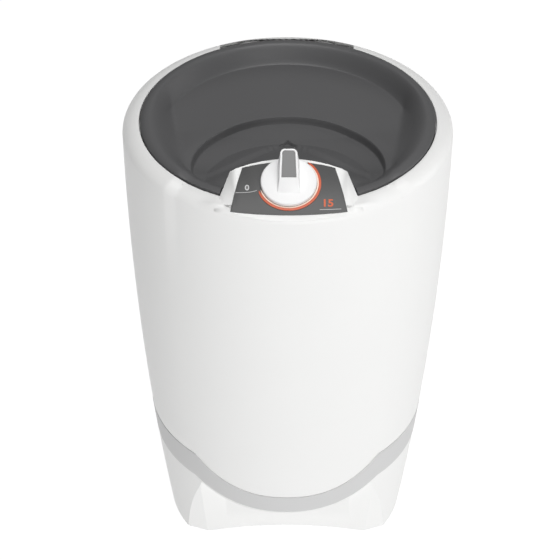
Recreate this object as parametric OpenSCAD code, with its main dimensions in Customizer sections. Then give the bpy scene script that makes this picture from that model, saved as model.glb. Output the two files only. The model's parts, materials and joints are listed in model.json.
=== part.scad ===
// Laundry spin dryer: a tapered round cabinet on a flat-fronted base, with a dished lid,
// a tilted control panel with a timer knob, and a motor-driven basket inside.
// Millimetres. The origin is on the basket axis at floor level, +Z is up, the front faces -Y.

/* [Cabinet] */
// Height of the top rim round the lid
rim_h = 680; // [660:5:700]
// Outer radius of the body at the floor
foot_r = 175.6; // [174:0.2:178]
// How much wider the body is at the shoulder than at the floor, on each side
flare = 51.4; // [50:0.2:54]
// How far the side stands out past a straight taper at mid height
side_bulge = 11.2; // [9:0.2:13]
// Wall of the moulded cabinet, base and band
wall = 3; // [2.4:0.2:3.4]
// Height of the rounded shoulder
shoulder_drop = 16; // [12:1:20]
// Gap between the lid edge and the rim round it
lid_gap = 1.5; // [1:0.1:2]
// Depth of the ledge under the rim that carries the lid
ledge_drop = 9; // [8:0.5:11]
// Width of the ledge
ledge_w = 8; // [7:0.5:10]
// Depth of the deck round the loading opening, below the rim
deck_drop = 55; // [53:1:60]
// Radius of the loading opening
loading_r = 125; // [115:1:126]
// Half angle of the flattened front sector
front_half_angle = 39; // [34:1:42]
// Depth of that sector at the top, which fades out lower down
front_recess = 3; // [1:0.5:3]
// How much lower the rim is over that sector
front_dip = 3.5; // [2:0.5:5]

/* [Base and band] */
// Clearance of the skirt above the floor, which is how far the feet stand out
skirt_gap = 2; // [1:0.5:4]
// How far the flat front of the base is set back from the round foot, at the floor
facet_in = 70.6; // [66:0.2:75]
// Outward run of that flat face for each unit of height
facet_slope = 0.31; // [0.26:0.01:0.34]
// Half width of the flat face at the floor
facet_half_w = 119; // [112:1:124]
// Height of the low arch under the flat face
arch_h = 18; // [12:1:22]
// Lower edge of the grey band at the front
band_low = 122; // [118:1:126]
// Upper edge of the grey band at the front
band_top = 153.5; // [148:0.5:158]
// Rise of the lower edge towards the sides
band_low_rise = 28; // [20:1:32]
// Rise of the upper edge towards the sides
band_top_rise = 45; // [38:1:48]
// How far the band stands proud of the cabinet
band_proud = 0.4; // [0.2:0.1:1]
// Height of the floor plate inside the base
floor_z = 30; // [26:1:34]
// Radius of each rubber foot
foot_pad_r = 12; // [9:0.5:13]

/* [Control panel] */
// Tilt of the panel from level, facing the user
panel_tilt = 22; // [18:1:26]
// Distance of the panel's front line inside the shoulder
panel_in = 13; // [11:1:15]
// Drop of the panel's front line below the rim
panel_drop = 10; // [8:1:12]
// Length of the panel up its slope
panel_len = 88; // [86:1:90]
// Half width of the panel at its rear corners
panel_rear_half_w = 77; // [74:1:79]
// Half width of the panel at the lid tips
panel_tip_half_w = 90; // [87:1:91]
// Distance of the knob centre up the slope
knob_s = 49; // [47:1:50]
// Radius of the knob disc
knob_r = 37; // [33:0.5:38]
// Thickness of the knob disc
knob_t = 8; // [7:0.5:10]
// Height of the knob's grip above the panel at its far end
grip_h = 35; // [30:1:40]
// Outer radius of the coloured arc round the knob
dial_r = 41.5; // [40:0.5:43]
// Radius of the timer shaft
timer_shaft_r = 3; // [2.5:0.5:4]

/* [Lid] */
// Thickness of the moulded lid
lid_t = 2.5; // [2:0.25:3]
// Height of the lid's rounded edge above the rim
lid_crown = 4; // [3:0.5:6]
// Depth of the lid's dish below its crown
dish_depth = 25; // [20:1:27]
// Height of the step at the first arch
arch_step = 10; // [7:1:11]
// Fall of the terrace between the two arches
terrace_fall = 8; // [4:1:9]
// Distance of the hinge axis inside the lid's rear edge
hinge_in = 14.5; // [13.5:0.5:15.5]
// Radius of each hinge pin
pin_r = 2.5; // [2:0.25:3]
// Opening angle of the lid
lid_open = 95; // [90:1:96]

/* [Drum] */
// How far the inside of the tub lies in from the foot of the body
tub_in = 15.6; // [14:0.2:18]
// Wall of the outer tub
tub_wall = 2.5; // [2:0.25:3]
// Height of the underside of the tub
tub_z = 205; // [203:1:208]
// Gap between the spinning basket and the tub
basket_gap = 14; // [10:1:20]
// Wall of the steel basket
basket_wall = 1.2; // [1:0.1:1.5]
// Height of the basket's bottom
basket_z = 238; // [234:1:242]
// Radius of the holes in the basket wall
drain_hole_r = 2.5; // [2:0.5:4]
// Number of columns of holes
hole_columns = 16; // [12:2:20]
// Number of rows of holes
hole_rows = 7; // [4:1:8]

/* [Drive] */
// Radius of the drive shaft
shaft_r = 9; // [8:0.5:10]
// Outer radius of the ball bearings
bearing_r = 17.5; // [17:0.5:20]
// Outer radius of the motor can
motor_r = 66; // [64:1:67]
// Height of the motor can
motor_h = 96; // [92:1:97]
// Height of the underside of the motor bracket
bracket_z = 67; // [65:1:70]
// Radius of the circle of the three springs
spring_circle_r = 86; // [84:1:88]
// Mean radius of each spring
spring_r = 11; // [9:0.5:12]
// Wire diameter of each spring
spring_wire = 3; // [2:0.5:3.5]
// Number of curls in each spring
spring_curls = 4; // [3:1:5]
// Radius of the brake drum
brake_r = 44; // [40:1:46]
// Gap between the brake pad and its drum with the lid closed
brake_gap = 1.6; // [1.5:0.1:2]

/* [Hidden] */

$fn = 96;

// Small clearances that the fits share
seat = 0.3;
run_fit = 0.05;
over = 1;

shell_white = "#f1f1ef";
band_grey = "#cfcfcf";
lid_grey = "#55565a";
steel = "#b9bcc0";
dark_rubber = "#26272a";

shoulder_r = foot_r + flare;
shoulder_z = rim_h - shoulder_drop;
panel_y = shoulder_r - panel_in;
facet_y = foot_r - facet_in;
lid_edge_r = shoulder_r - 24.5;
rim_r = lid_edge_r + lid_gap;
ledge_z = rim_h - ledge_drop;
deck_z = rim_h - deck_drop;
ledge_r = rim_r - ledge_w;
deck_r = ledge_r - 3;
tub_r = foot_r - tub_in;
hinge_y = lid_edge_r - hinge_in;
basket_r = tub_r - basket_gap;

// ---- Shared curves -------------------------------------------------------------------

function clamp01(t) = min(1, max(0, t));
function ease(t) = let (u = clamp01(t)) u * u * (3 - 2 * u);

// Outer radius of the body at height z
function side_r(z) = foot_r + (shoulder_r - foot_r) * z / shoulder_z
    + side_bulge * (1 - pow(2 * z / shoulder_z - 1, 2));

// Edges of the band, as heights across the width of the body
band_corner_x = 133;
band_step = band_corner_x / 14;
function band_curve(x, power) = pow(min(1, abs(x) / band_corner_x), power);
function band_low_z(x) = band_low + band_low_rise * band_curve(x, 2.6);
function band_top_z(x) = band_top + band_top_rise * band_curve(x, 2.8);

reach = 260;
smile_x = concat([-195], [for (i = [-14:14]) i * band_step], [195]);

// Everything under a band edge, run through the body from front to back
module under_edge(top_edge, lift, bottom) {
    edge = [for (x = smile_x) [x, (top_edge ? band_top_z(x) : band_low_z(x)) + lift]];
    end_z = edge[0][1];
    rotate([90, 0, 0])
        linear_extrude(height = 2 * reach, center = true)
            polygon(concat([[-reach, bottom], [-reach, end_z]], edge, [[reach, end_z], [reach, bottom]]));
}

// Points up the side, inset by a distance, from one height to another
side_steps = 14;
function side_points(low, high, inset) =
    [for (i = [0:side_steps]) let (z = low + (high - low) * i / side_steps) [side_r(z) - inset, z]];

module ring(r_out, r_in, z, h) {
    translate([0, 0, z])
        difference() {
            cylinder(r = r_out, h = h);
            translate([0, 0, -over])
                cylinder(r = r_in, h = h + 2 * over);
        }
}

module around(count, r, start = 0) {
    for (i = [0:count - 1])
        rotate([0, 0, start + 360 * i / count])
            translate([r, 0, 0])
                children();
}

// ---- Cabinet -------------------------------------------------------------------------

shoulder_arc = 6;
fade_low = rim_h * 0.75;
function fade(z) = ease((z - fade_low) / (rim_h - 20 - fade_low));

// Heights at which the side is drawn
top_fixed_z = rim_h - 60;
side_heights = [for (i = [0:12]) band_low + (top_fixed_z - band_low) * i / 12];
low_fade_z = side_heights[9];
upper_heights = [for (z = side_heights) if (z > low_fade_z + 1) z];
rim_out = rim_r + wall;

// The rounded shoulder, an inset below its face, from the side in to the rim
function shoulder_points(drop, recess, inset) = let (
        bend_r = side_r(shoulder_z) - recess - inset,
        in_r = rim_r - recess + inset)
    [for (i = [0:shoulder_arc]) let (a = 90 * i / shoulder_arc)
        [in_r + (bend_r - in_r) * cos(a), shoulder_z - drop + (shoulder_drop - inset) * sin(a)]];
function reversed(list) = [for (i = [len(list) - 1:-1:0]) list[i]];

// Half section of the cabinet
module cabinet_section() {
    polygon(concat(
        [for (z = side_heights) [side_r(z), z]],
        shoulder_points(0, 0, 0),
        [[rim_r, ledge_z], [ledge_r, ledge_z], [deck_r, deck_z], [deck_r, deck_z - wall],
         [deck_r + wall, deck_z - wall], [ledge_r + wall, ledge_z - wall], [rim_out, ledge_z - wall]],
        reversed(shoulder_points(0, 0, wall)),
        reversed([for (z = side_heights) [side_r(z) - wall, z]])));
}

// Extra wall inside the front sector, so that the flattened front keeps its thickness
liner_lap = 1.5;
module front_liner_section() {
    polygon(concat(
        [[side_r(low_fade_z) - liner_lap, low_fade_z]],
        [for (z = upper_heights) [side_r(z) - liner_lap, z]],
        shoulder_points(0, 0, liner_lap),
        [[rim_out - 1, ledge_z - 1]],
        [for (p = reversed(shoulder_points(front_dip, front_recess, wall))) [max(p[0], rim_out - 1), p[1]]],
        reversed([for (z = upper_heights) [side_r(z) - wall - 0.3 - front_recess * fade(z), z]])));
}

// What is taken off the outside of the front sector
module front_cut_section() {
    high = rim_h + 20;
    wide = shoulder_r + 20;
    polygon(concat(
        [[side_r(low_fade_z) + 0.3, low_fade_z]],
        [for (z = upper_heights) [side_r(z) + 0.3 - (front_recess + 0.3) * fade(z), z]],
        shoulder_points(front_dip, front_recess, 0),
        [[ledge_r + 2, rim_h - front_dip], [ledge_r + 2, high], [wide, high], [wide, low_fade_z]]));
}

// One sector of a half section, centred on the front
module front_sector(half) {
    rotate([0, 0, -90 - half])
        rotate_extrude(angle = 2 * half)
            children();
}

panel_z = rim_h - panel_drop;

module on_panel() {
    translate([0, -panel_y, panel_z])
        rotate([panel_tilt, 0, 0])
            children();
}

// Outline of the panel on its own plane, with a bowed rear edge; s runs up the slope
panel_tip_s = 32;
panel_corner_s = panel_len - 20;
panel_side_lean = (panel_tip_half_w - panel_rear_half_w) / (panel_corner_s - panel_tip_s);
function panel_side_x(s) = panel_rear_half_w + (panel_corner_s - s) * panel_side_lean;
module panel_outline() {
    front_s = -40;
    rear = [for (i = [-4:4]) let (x = i / 4 * (panel_rear_half_w - 8))
        [x, panel_len - 15 * pow(x / (panel_rear_half_w - 8), 2)]];
    polygon(concat(
        [[panel_side_x(front_s), front_s], [panel_rear_half_w, panel_corner_s]],
        [for (i = [8:-1:0]) rear[i]],
        [[-panel_rear_half_w, panel_corner_s], [-panel_side_x(front_s), front_s]]));
}

// The raised block under the panel, inset on every side; its foot is on the deck
console_draft = 5;
module console_block(inset) {
    hull() {
        on_panel()
            translate([0, 0, -inset - 1])
                linear_extrude(height = 1)
                    offset(delta = -inset)
                        panel_outline();
        translate([0, -panel_y, deck_z - wall])
            linear_extrude(height = 1)
                offset(delta = console_draft - inset)
                    scale([1, cos(panel_tilt)])
                        panel_outline();
    }
}

// The body's outline, drawn in a little so that the block ends inside the front wall
block_inset = 1.2;
module body_core(inset) {
    rotate_extrude()
        polygon(concat(
            [[0, deck_z - 40]],
            [for (z = [deck_z - 40, deck_z, shoulder_z - front_dip])
                [side_r(z) - front_recess * fade(z) - block_inset - inset, z]],
            [[side_r(shoulder_z) - front_recess - block_inset - inset, rim_h + 40], [0, rim_h + 40]]));
}

// Space above the panel plane and inside its side lines, cleared from the shoulder
module above_panel() {
    on_panel()
        linear_extrude(height = 80)
            panel_outline();
}

pocket_half_w = 96;
pocket_y = hinge_y + 21;
pocket_z = rim_h - 30;
post_x = 64;
post_w = 10;
hinge_z = rim_h - 8;
barrel_r = 5.5;

module hinge_pocket_walls() {
    intersection() {
        translate([-pocket_half_w - wall, ledge_r - 22, pocket_z - wall])
            cube([2 * (pocket_half_w + wall), pocket_y + wall - ledge_r + 22, rim_h - pocket_z - 2]);
        rotate_extrude()
            polygon([[ledge_r - 2.5, pocket_z - wall], [shoulder_r - 2, pocket_z - wall],
                [shoulder_r - 2, shoulder_z - 1], [rim_r + 12, rim_h - 4], [rim_r + wall, rim_h - 2],
                [rim_r, rim_h - 2], [rim_r, ledge_z], [ledge_r - 1, ledge_z]]);
    }
}

module hinge_post(x) {
    translate([x - post_w / 2, 0, 0]) {
        translate([0, hinge_y, hinge_z])
            rotate([0, 90, 0])
                cylinder(r = barrel_r, h = post_w);
        translate([0, hinge_y - barrel_r, pocket_z - 1])
            cube([post_w, 2 * barrel_r, hinge_z - pocket_z + 1]);
    }
}

boss_r = 6;
boss_z = 206;
boss_in = 15.1;
boss_circle_r = side_r(boss_z) - boss_in;
boss_h = 30;
screw_r = 2;
tub_screw_circle_r = tub_r + 12;
tub_screw_angles = [0, 45, 90, 135, 180, 225, 315];

module at_tub_screws() {
    for (a = tub_screw_angles)
        rotate([0, 0, a])
            translate([tub_screw_circle_r, 0, 0])
                children();
}

switch_angle = -20;
switch_r = rim_r - 2.4;
plunger_r = 1.5;

module cabinet() {
    color(shell_white)
        difference() {
            union() {
                difference() {
                    union() {
                        rotate_extrude()
                            cabinet_section();
                        front_sector(front_half_angle + 3)
                            front_liner_section();
                        front_sector(front_half_angle + 0.6)
                            translate([rim_r - front_recess, ledge_z - 1.5])
                                square([front_recess + 2, rim_h - ledge_z + 0.5]);
                    }
                    front_sector(front_half_angle)
                        front_cut_section();
                    above_panel();
                    under_edge(true, seat / 2, band_low - 10);
                }
                difference() {
                    intersection() {
                        console_block(0);
                        body_core(0);
                    }
                    translate([0, 0, deck_z - 2 * wall])
                        cylinder(r = deck_r, h = 2 * wall + seat);
                }
                hinge_pocket_walls();
                for (a = [45:90:315])
                    rotate([0, 0, a])
                        translate([boss_circle_r, 0, boss_z + seat]) {
                            cylinder(r = boss_r, h = boss_h);
                            translate([boss_r - 2, -2, 0])
                                cube([side_r(boss_z) - wall - boss_circle_r - boss_r + 3, 4, boss_h]);
                        }
            }
            intersection() {
                console_block(wall);
                body_core(wall);
            }
            difference() {
                intersection() {
                    translate([-pocket_half_w, hinge_y - 16, pocket_z])
                        cube([2 * pocket_half_w, pocket_y - hinge_y + 16, 60]);
                    cylinder(r = shoulder_r - 6, h = reach * 3);
                }
                for (side = [-1, 1])
                    hinge_post(side * post_x);
            }
            translate([-post_x - post_w, hinge_y, hinge_z])
                rotate([0, 90, 0])
                    cylinder(r = pin_r + run_fit, h = 2 * (post_x + post_w));
            for (a = [45:90:315])
                rotate([0, 0, a])
                    translate([boss_circle_r, 0, boss_z - over])
                        cylinder(r = screw_r, h = boss_h - 8);
            on_panel()
                translate([0, knob_s, -wall - over])
                    cylinder(r = timer_shaft_r + 2.5, h = wall + 2 * over);
            rotate([0, 0, switch_angle])
                translate([switch_r, 0, ledge_z - wall - over])
                    cylinder(r = plunger_r + 0.3, h = wall + 2 * over);
        }
}

// Flat ring inside the cabinet round the loading opening; the tub hangs from it
module deck() {
    color(shell_white)
        difference() {
            ring(deck_r - seat, loading_r, deck_z - wall, wall);
            at_tub_screws()
                translate([0, 0, deck_z - wall - over])
                    cylinder(r = screw_r + 0.2, h = wall + 2 * over);
        }
}

// ---- Band and base -------------------------------------------------------------------

module trim_band() {
    color(band_grey)
        intersection() {
            rotate_extrude()
                polygon(concat(
                    side_points(band_low - 10, band_top + band_top_rise + 10, -band_proud),
                    [for (p = [side_steps:-1:0]) let (q = side_points(band_low - 10,
                        band_top + band_top_rise + 10, wall)[p]) q]));
            difference() {
                under_edge(true, -seat / 2, band_low - 20);
                under_edge(false, seat / 2, band_low - 30);
            }
        }
}

// Space in front of the flat face and under the band, moved inward by an inset
corner_lean = 20.6;
facet_angle = atan(facet_slope);
module front_space(inset) {
    intersection() {
        union() {
            translate([-reach, -facet_y + inset, 0])
                rotate([facet_angle, 0, 0])
                    translate([0, -reach, -reach])
                        cube([2 * reach, reach, 2 * reach]);
            for (side = [-1, 1])
                translate([side * facet_half_w, -facet_y + inset, 0])
                    rotate([0, 0, side * corner_lean])
                        rotate([facet_angle, 0, 0])
                            translate([-reach, -reach, -reach])
                                cube([2 * reach, reach, 2 * reach]);
        }
        under_edge(false, inset - wall, -over);
        translate([-reach, -reach, -over])
            cube([2 * reach, reach - 20, reach]);
    }
}

module base_solid(inset) {
    difference() {
        rotate_extrude()
            polygon(concat([[0, -over]], [[side_r(0) - inset, -over]],
                side_points(0, 190, inset), [[0, 190]]));
        front_space(inset);
        mirror([0, 1, 0])
            front_space(inset);
    }
}

// Frame on the flat rear face: +Z points straight out of it
module on_rear_face(x, z) {
    translate([x, facet_y + facet_slope * z, z])
        rotate([-90 - facet_angle, 0, 0])
            children();
}

gland_x = -62;
gland_z = 62;
gland_r = 8;
spout_x = 62;
spout_z = 82;
spout_r = 10;
collar_low = 96;
collar_top = 203;
arch_r = (pow(facet_half_w, 2) + pow(arch_h, 2)) / (2 * arch_h);
pad_circle_r = foot_r - 29.6;
pad_angle = 53;
pad_pocket = 4;

module pad_places() {
    for (a = [-90 - pad_angle, -90 + pad_angle, 90 - pad_angle, 90 + pad_angle])
        rotate([0, 0, a])
            translate([pad_circle_r, 0, 0])
                children();
}

module base() {
    color(shell_white)
        difference() {
            base_solid(0);
            base_solid(wall);
            translate([0, 0, -over])
                cylinder(r = reach, h = skirt_gap + over);
            difference() {
                translate([-reach, -reach, 0])
                    cube([2 * reach, 2 * reach, reach]);
                under_edge(false, -seat / 2, -over);
            }
            for (side = [-1, 1])
                translate([0, side * (facet_y + 10), arch_h - arch_r])
                    rotate([90, 0, 0])
                        cylinder(r = arch_r, h = 60, center = true);
            on_rear_face(gland_x, gland_z)
                cylinder(r = gland_r + seat, h = 40, center = true);
            on_rear_face(spout_x, spout_z)
                cylinder(r = spout_r + seat, h = 40, center = true);
        }
}

// Collar inside the base that carries the band and the cabinet
module base_collar() {
    color(shell_white)
        difference() {
            rotate_extrude()
                polygon(concat(
                    [[side_r(collar_low) - 2 * wall - seat, collar_low]],
                    side_points(collar_low, collar_top, wall + seat),
                    [[boss_circle_r - boss_r - 1, collar_top], [boss_circle_r - boss_r - 1, collar_top - wall],
                     [side_r(collar_top - wall) - 2 * wall - seat, collar_top - wall]]));
            front_space(wall + seat);
            mirror([0, 1, 0])
                front_space(wall + seat);
            around(4, boss_circle_r, 45)
                translate([0, 0, collar_top - wall - over])
                    cylinder(r = screw_r + 0.3, h = wall + 2 * over);
        }
}

// Floor plate inside the base, with a short column down to each rubber foot
module base_floor() {
    color(shell_white)
        difference() {
            intersection() {
                base_solid(wall + seat);
                union() {
                    translate([0, 0, floor_z])
                        cylinder(r = reach, h = wall);
                    pad_places()
                        translate([0, 0, skirt_gap])
                            cylinder(r = foot_pad_r + 3, h = floor_z - skirt_gap + 0.5);
                }
            }
            pad_places()
                translate([0, 0, -over])
                    cylinder(r = foot_pad_r + seat, h = skirt_gap + pad_pocket + over);
            // Air slots under the motor
            for (i = [-3:3])
                translate([i * 16 - 4, -28, floor_z - over])
                    cube([8, 56, wall + 2 * over]);
        }
}

module rubber_feet() {
    color(dark_rubber)
        pad_places()
            rotate_extrude()
                polygon([[0, 0], [foot_pad_r - 1.5, 0], [foot_pad_r, 1.5],
                    [foot_pad_r, skirt_gap + pad_pocket - 0.1], [0, skirt_gap + pad_pocket - 0.1]]);
}

module base_screws() {
    color(steel)
        around(4, boss_circle_r, 45) {
            translate([0, 0, collar_top - wall])
                cylinder(r = screw_r - 0.05, h = 24);
            translate([0, 0, collar_top - wall - 2.6])
                cylinder(r = 4, h = 2.5);
        }
}

// ---- Control panel -------------------------------------------------------------------

label_t = 0.8;
label_front_half_w = 76;
label_rear_half_w = 61;
label_rear_s = 74;

module control_label() {
    front = [for (i = [-5:5]) let (x = i / 5 * label_front_half_w)
        [x, 5.3 * pow(x / label_front_half_w, 2)]];
    rear = [for (i = [5:-1:-5]) let (x = i / 5 * label_rear_half_w)
        [x, label_rear_s + 10 * (1 - pow(x / label_rear_half_w, 2))]];
    color(lid_grey)
        on_panel()
            translate([0, 0, 0.05])
                linear_extrude(height = label_t)
                    difference() {
                        polygon(concat(front, rear));
                        translate([0, knob_s])
                            circle(r = timer_shaft_r + 6);
                    }
}

dial_start = 198;
dial_sweep = 212;
dial_w = 3.8;
module dial_ring() {
    color("#d8643a")
        on_panel()
            translate([0, knob_s, label_t + 0.1])
                rotate([0, 0, dial_start])
                    rotate_extrude(angle = dial_sweep)
                        translate([dial_r - dial_w, 0])
                            square([dial_w, 1.2]);
}

knob_lift = label_t + 0.5;
grip_near = -6;
grip_far = 34;
grip_near_h = 20;
insert_t = 1;

grip_run = grip_far - grip_near;
insert_near_s = 1.6;
insert_far_s = grip_run - 3;

// A slab under the grip's sloping top, from one place to another along the slope
module grip_top(half_near, half_far, near_s, far_s, low, h) {
    translate([0, grip_near, grip_near_h])
        rotate([atan((grip_h - grip_near_h) / grip_run), 0, 0])
            translate([0, 0, low])
                linear_extrude(height = h)
                    polygon([[-half_near, near_s], [half_near, near_s], [half_far, far_s], [-half_far, far_s]]);
}

module knob() {
    color(shell_white)
        on_panel()
            translate([0, knob_s, 0])
                difference() {
                    union() {
                        rotate_extrude()
                            polygon([[0, knob_lift], [knob_r - 1, knob_lift], [knob_r, knob_lift + 1],
                                [knob_r, knob_t - 3], [knob_r - 0.8, knob_t - 1], [knob_r - 2.5, knob_t],
                                [0, knob_t]]);
                        hull() {
                            translate([0, 0, knob_t - 1.5])
                                linear_extrude(height = 1)
                                    polygon([[-16, -13], [16, -13], [13, 31], [11, 33.5], [-11, 33.5], [-13, 31]]);
                            grip_top(12.5, 9.5, 0, grip_run - 1, -2, 2);
                        }
                    }
                    grip_top(10.5, 7.2, insert_near_s, insert_far_s, -insert_t, insert_t + over);
                    translate([0, 0, -over])
                        cylinder(r = timer_shaft_r + run_fit, h = knob_t + 6 + over);
                }
}

module knob_insert() {
    color("#8c8c8c")
        on_panel()
            translate([0, knob_s, 0])
                grip_top(10.4, 7.1, insert_near_s + 0.1, insert_far_s - 0.1, 0.1 - insert_t, insert_t - 0.2);
}

timer_w = 48;
timer_l = 38;
timer_depth = 27;
module timer_body() {
    color("#d9d4c4")
        on_panel()
            translate([0, knob_s, -wall - seat])
                difference() {
                    union() {
                        translate([-timer_w / 2, -timer_l / 2, -timer_depth])
                            cube([timer_w, timer_l, timer_depth]);
                        for (x = [-15, 0, 15])
                            translate([x - 3, -8, -timer_depth - 7])
                                cube([6, 1, 8]);
                    }
                    translate([0, 0, -timer_depth + 6])
                        cylinder(r = timer_shaft_r + run_fit, h = timer_depth);
                }
}

module timer_shaft() {
    color(steel)
        on_panel()
            translate([0, knob_s, -wall - timer_depth + 8])
                cylinder(r = timer_shaft_r, h = wall + timer_depth - 8 + knob_t + 5.5);
}

// Flat nut that clamps the timer's bush to the panel, under the knob
module timer_nut() {
    color(steel)
        on_panel()
            translate([0, knob_s, -wall - seat / 2])
                difference() {
                    union() {
                        cylinder(r = timer_shaft_r + 2.2, h = wall + seat + 0.8);
                        translate([0, 0, wall + seat / 2 + 0.1])
                            cylinder(r = timer_shaft_r + 4.5, h = 0.7);
                    }
                    translate([0, 0, -over])
                        cylinder(r = timer_shaft_r + run_fit, h = wall + 3 * over);
                }
}

// ---- Lid -----------------------------------------------------------------------------

// The lid is a thin dished sheet. Its cross-sections run from the outer edge to the notch
// behind the control panel, and follow each other from the left tip round the back to the right.
arch_one_r = 129;
arch_one_y = -95;
arch_two_r = 110;
arch_two_y = -117;
lid_tip_x = panel_tip_half_w + 1.5;
lid_tip_angle = 180 - asin(lid_tip_x / lid_edge_r);
notch_corner = [panel_rear_half_w + 6.5, 68 - panel_y];
notch_rear_y = 88 - panel_y;
lid_sections = 60;
// How far the raised collar round the notch always stays below the lid's outer ring
collar_below = 5;

// How far a direction, measured from the back, lies in the flattened front sector
function in_front(a) = ease((abs(a) - (180 - front_half_angle - 6)) / 5);
function lid_outline(a) = let (r = lid_edge_r - front_recess * in_front(a)) [r * sin(a), r * cos(a)];
function notch_edge(u) = let (t = 2 * u - 1)
    [t * notch_corner[0], notch_rear_y + (notch_corner[1] - notch_rear_y) * t * t];

function side_crease_x(y) = 152.8 + 0.151 * y;
function ring_fall(x, y) = let (
        r = norm([x, y]),
        back = ease((lid_edge_r - 11 - r) / 20),
        start = sqrt(max(1, pow(lid_edge_r - 11, 2) - y * y)),
        side = ease((start - abs(x)) / max(4, start - side_crease_x(y))))
    min(back, side);

// Height of the lid's upper face
function lid_z(x, y) = let (
        r = norm([x, y]),
        a = atan2(x, y),
        rim = rim_h + lid_crown - front_dip * in_front(a),
        roll = lid_crown * (1 - sqrt(1 - pow(clamp01((r - lid_edge_r + 9) / 9.4), 2))),
        d1 = norm([x, y - arch_one_y]),
        d2 = norm([x, y - arch_two_y]),
        front_fade = clamp01((y + 175) / 175),
        dish = dish_depth * (0.2 + 0.8 * front_fade) * ring_fall(x, y),
        step = arch_step * ease((y + 150) / 90) * ease((arch_one_r + 2 - d1) / 4),
        fall = terrace_fall * ease((y + 170) / 90) * clamp01(1 - (d2 - arch_two_r) / 38),
        collar = 0.23 * max(0, arch_two_r - d2))
    rim - roll - dish - step - fall + min(collar, max(0, dish + step + fall - collar_below));

// Distance along a section at which it enters a circle centred at [0, cy]
function entry(p, dir, cy, r) = let (
        q = [p[0], p[1] - cy],
        b = q * dir,
        c = q * q - r * r,
        disc = b * b - c)
    (c <= 0 || disc < 0) ? 0 : -b - sqrt(disc);

// Places along a section where the sheet is drawn, closer together where it bends
function lid_stops(len, one, two) = let (
        k = min(1, one / 80))
    concat(
        [for (d = [0, 2, 5, 9, 14, 20, 26, 33, 42]) d * k],
        [for (i = [1:3]) 42 * k + (one - 44 * k) * i / 3],
        [one + 2 * k],
        [for (i = [1:3]) one + 2 * k + (two - one - 2 * k) * i / 3],
        [for (i = [1:4]) two + (len - two) * i / 4]);

// Lower edge of the lid's skirt, raised at the back so that it clears the rim as the lid turns
bumper_h = 2;
skirt_low_z = ledge_z + bumper_h + seat;
skirt_rise = rim_h - 1 - skirt_low_z;
skirt_clear_x = 126;
function skirt_z(p) = p[1] > 0 ? skirt_low_z + skirt_rise * ease((skirt_clear_x - abs(p[0])) / 14) : skirt_low_z;

function lid_section(u) = let (
        a = lid_tip_angle * (2 * u - 1),
        p = lid_outline(a),
        q = notch_edge(u),
        len = norm(q - p),
        dir = (q - p) / len,
        one = min(len * 0.6, max(6, entry(p, dir, arch_one_y, arch_one_r))),
        two = min(len * 0.8, max(one + 5, entry(p, dir, arch_two_y, arch_two_r))),
        stops = lid_stops(len, one, two),
        last = len(stops) - 1,
        low = skirt_z(p))
    concat(
        [for (d = stops) let (v = p + d * dir) [v[0], v[1], lid_z(v[0], v[1])]],
        [for (i = [last:-1:2]) let (v = p + stops[i] * dir) [v[0], v[1], lid_z(v[0], v[1]) - lid_t]],
        let (v = p + min(3, stops[2] * 0.9) * dir) [[v[0], v[1], low]],
        [[p[0], p[1], low]]);

// A closed tube of triangles through sections that all have the same number of points
module skin(sections) {
    n = len(sections[0]);
    m = len(sections);
    polyhedron(
        points = [for (s = sections) each s],
        faces = concat(
            [for (j = [0:m - 2], i = [0:n - 1]) let (k = (i + 1) % n)
                [j * n + i, j * n + k, (j + 1) * n + k]],
            [for (j = [0:m - 2], i = [0:n - 1]) let (k = (i + 1) % n)
                [j * n + i, (j + 1) * n + k, (j + 1) * n + i]],
            [for (i = [0:floor(n / 2) - 2]) [i, n - 1 - i, i + 1]],
            [for (i = [0:floor(n / 2) - 2]) if (n - 2 - i > i + 1) [i + 1, n - 1 - i, n - 2 - i]],
            let (b = (m - 1) * n) [for (i = [0:floor(n / 2) - 2]) [b + i, b + i + 1, b + n - 1 - i]],
            let (b = (m - 1) * n) [for (i = [0:floor(n / 2) - 2]) if (n - 2 - i > i + 1)
                [b + i + 1, b + n - 2 - i, b + n - 1 - i]]));
}

module lid() {
    color(lid_grey)
        skin([for (j = [0:lid_sections]) lid_section(j / lid_sections)]);
}

arm_w = 12;
arm_x = post_x - post_w / 2 - arm_w - 0.5;
arm_neck = 4;
arm_neck_y = hinge_y - 3.5;
arm_top_z = rim_h + lid_crown - lid_t - 0.9;
module lid_hinge_arms() {
    color(lid_grey)
        for (side = [0, 1])
            mirror([side, 0, 0])
                difference() {
                    union() {
                        translate([arm_x, hinge_y, hinge_z])
                            rotate([0, 90, 0])
                                cylinder(r = barrel_r, h = arm_w);
                        translate([arm_x, arm_neck_y, hinge_z])
                            cube([arm_w, arm_neck, arm_top_z - hinge_z]);
                    }
                    translate([arm_x - over, hinge_y, hinge_z])
                        rotate([0, 90, 0])
                            cylinder(r = pin_r + 0.08, h = arm_w + 2 * over);
                }
}

module lid_hinge_pins() {
    color(steel)
        for (side = [0, 1])
            mirror([side, 0, 0])
                translate([arm_x + 1, hinge_y, hinge_z])
                    rotate([0, 90, 0])
                        cylinder(r = pin_r, h = arm_w + post_w - 0.5);
}

bumper_angles = [-40, 0, 180, 220];
module lid_bumpers() {
    color(dark_rubber)
        for (a = bumper_angles)
            rotate([0, 0, a])
                translate([ledge_r + 4.2, 0, ledge_z])
                    cylinder(r = 2.6, h = bumper_h);
}

module lid_switch_body() {
    color("#303236")
        rotate([0, 0, switch_angle])
            difference() {
                translate([ledge_r + wall + 0.4, -10, ledge_z - wall - 26])
                    cube([12, 20, 25.7]);
                translate([switch_r, 0, ledge_z - wall - 14])
                    cylinder(r = plunger_r + run_fit, h = 20);
            }
}

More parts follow.
